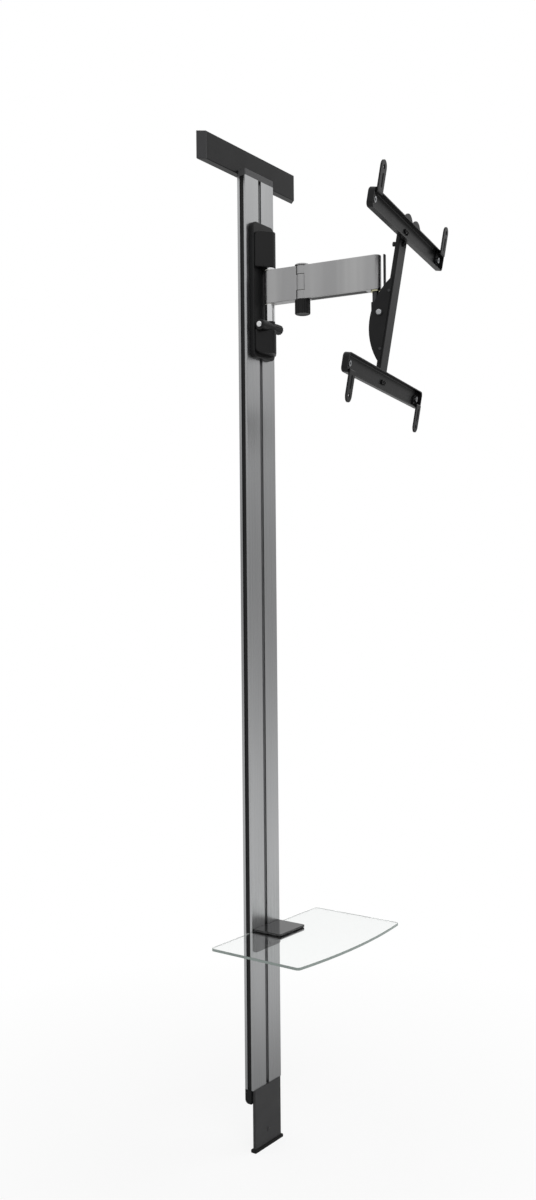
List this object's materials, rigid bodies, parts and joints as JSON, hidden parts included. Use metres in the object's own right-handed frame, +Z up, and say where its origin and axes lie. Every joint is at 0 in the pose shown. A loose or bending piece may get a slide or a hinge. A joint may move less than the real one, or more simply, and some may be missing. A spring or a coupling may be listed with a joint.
{
  "type": "wall-fixed television column",
  "caption": "Slim aluminium column fixed to a wall bar, standing on the floor, with a swivelling and tilting television mount on an arm and a height-adjustable glass shelf.",
  "frame": {"origin": "middle of the foot pad's underside, on the floor", "axes": "+Z up along the column, +Y towards the wall, +X to the right for someone facing the wall"},
  "size_m": [0.4494, 0.4035, 2.0045],
  "materials": {
    "anodised_aluminium": "satin anodised extrusion with fine lengthwise draw lines",
    "brushed_aluminium": "brushed upright, across the arm",
    "black_metal": "black powder coat, satin",
    "black_plastic": "moulded, matte",
    "grey_plastic": "moulded, matte dark grey",
    "rubber": "matte",
    "glass": "clear float glass, polished edges",
    "chrome": "bright plated",
    "zinc_steel": "zinc plated",
    "dark_steel": "blackened steel",
    "brass": "plain turned",
    "nylon": "natural white"
  },
  "bodies": {
    "column": {"column_extrusion": "anodised_aluminium", "side_cable_cover_left": "black_plastic", "side_cable_cover_right": "black_plastic", "column_top_cap": "grey_plastic", "wall_bracket": "zinc_steel", "wall_bar_cover": "black_metal", "wall_bar_end_cap_left": "grey_plastic", "wall_bar_end_cap_right": "grey_plastic", "hang_plate": "zinc_steel", "hang_screws_and_nuts": "zinc_steel", "foot_plug": "black_plastic", "foot_plate": "black_metal", "foot_pad": "rubber", "foot_pad_screw_and_nut": "dark_steel", "foot_screws": "dark_steel"},
    "shelf": {"shelf_bracket": "black_metal", "shelf_pads": "rubber", "shelf_glass": "glass", "shelf_clamp_plate": "black_metal", "glass_bushes": "nylon", "shelf_clamp_screws": "zinc_steel", "shelf_screws_and_nuts": "dark_steel"},
    "carriage": {"carriage_plate": "black_metal", "upper_bearing_housing": "black_metal", "lower_bearing_housing": "black_metal", "housing_screws": "zinc_steel", "carriage_screws_and_nuts": "zinc_steel", "shoulder_pin": "chrome", "shoulder_spacers": "chrome", "shoulder_washers": "nylon", "clamp_bolt": "chrome"},
    "clamp_knob": {"clamp_knob": "black_plastic"},
    "inner_link": {"inner_link": "brushed_aluminium", "shoulder_bushes": "nylon", "elbow_bolt": "chrome", "elbow_washers": "nylon"},
    "elbow_knob": {"elbow_knob": "black_plastic"},
    "outer_link": {"outer_link": "brushed_aluminium", "elbow_bushes": "nylon", "swivel_bushes": "nylon", "arm_cable_cover": "black_plastic"},
    "swivel_bracket": {"swivel_shaft": "dark_steel", "swivel_washer": "brass", "shaft_retainer": "zinc_steel", "swivel_bracket": "black_metal", "friction_washers": "nylon"},
    "tilt_frame": {"head_spine": "black_metal", "tilt_cheek_left": "black_metal", "tilt_cheek_right": "black_metal", "cheek_rivets": "dark_steel", "tilt_bolt": "zinc_steel", "tilt_nut_and_washers": "dark_steel", "top_bar": "black_metal", "bottom_bar": "black_metal", "bar_bolts_and_nuts": "dark_steel", "finger_bolts_and_nuts": "zinc_steel"},
    "finger_top_left": {"finger_top_left": "black_metal"},
    "finger_top_right": {"finger_top_right": "black_metal"},
    "finger_bottom_left": {"finger_bottom_left": "black_metal"},
    "finger_bottom_right": {"finger_bottom_right": "black_metal"}
  },
  "joints": [
    {"name": "shelf_height", "type": "slide", "parent": "column", "child": "shelf", "axis": [0, 0, 1], "range_m": [-0.25, 0.4]},
    {"name": "carriage_height", "type": "slide", "parent": "column", "child": "carriage", "axis": [0, 0, 1], "range_m": [-0.55, 0.07]},
    {"name": "clamp_knob_turn", "type": "hinge", "parent": "carriage", "child": "clamp_knob", "pos_m": [0.0193, -0.026, 1.645], "axis": [1, 0, 0], "continuous": true},
    {"name": "shoulder_swing", "type": "hinge", "parent": "carriage", "child": "inner_link", "pos_m": [0, -0.026, 1.7245], "axis": [0, 0, 1], "range_deg": [-72, 48]},
    {"name": "elbow_knob_turn", "type": "hinge", "parent": "inner_link", "child": "elbow_knob", "pos_m": [0.01476, -0.09545, 1.6767], "axis": [0, 0, 1], "continuous": true},
    {"name": "elbow_bend", "type": "hinge", "parent": "inner_link", "child": "outer_link", "pos_m": [0.01476, -0.09545, 1.7245], "axis": [0, 0, 1], "range_deg": [-75, 75]},
    {"name": "head_swivel", "type": "hinge", "parent": "outer_link", "child": "swivel_bracket", "pos_m": [0.04657, -0.2451, 1.7245], "axis": [0, 0, 1], "range_deg": [-45, 45]},
    {"name": "head_tilt", "type": "hinge", "parent": "swivel_bracket", "child": "tilt_frame", "pos_m": [0.04969, -0.25978, 1.642], "axis": [0.9781, 0.2079, 0], "range_deg": [-13, 5]},
    {"name": "finger_top_left_swing", "type": "hinge", "parent": "tilt_frame", "child": "finger_top_left", "pos_m": [-0.12988, -0.35288, 1.79296], "axis": [0.2048, -0.9633, -0.1736], "range_deg": [-90, 90]},
    {"name": "finger_top_right_swing", "type": "hinge", "parent": "tilt_frame", "child": "finger_top_right", "pos_m": [0.2516, -0.27179, 1.79296], "axis": [0.2048, -0.9633, -0.1736], "range_deg": [-90, 90]},
    {"name": "finger_bottom_left_swing", "type": "hinge", "parent": "tilt_frame", "child": "finger_bottom_left", "pos_m": [-0.1402, -0.3043, 1.51131], "axis": [0.2048, -0.9633, -0.1736], "range_deg": [-90, 90]},
    {"name": "finger_bottom_right_swing", "type": "hinge", "parent": "tilt_frame", "child": "finger_bottom_right", "pos_m": [0.24127, -0.22321, 1.51131], "axis": [0.2048, -0.9633, -0.1736], "range_deg": [-90, 90]}
  ]
}
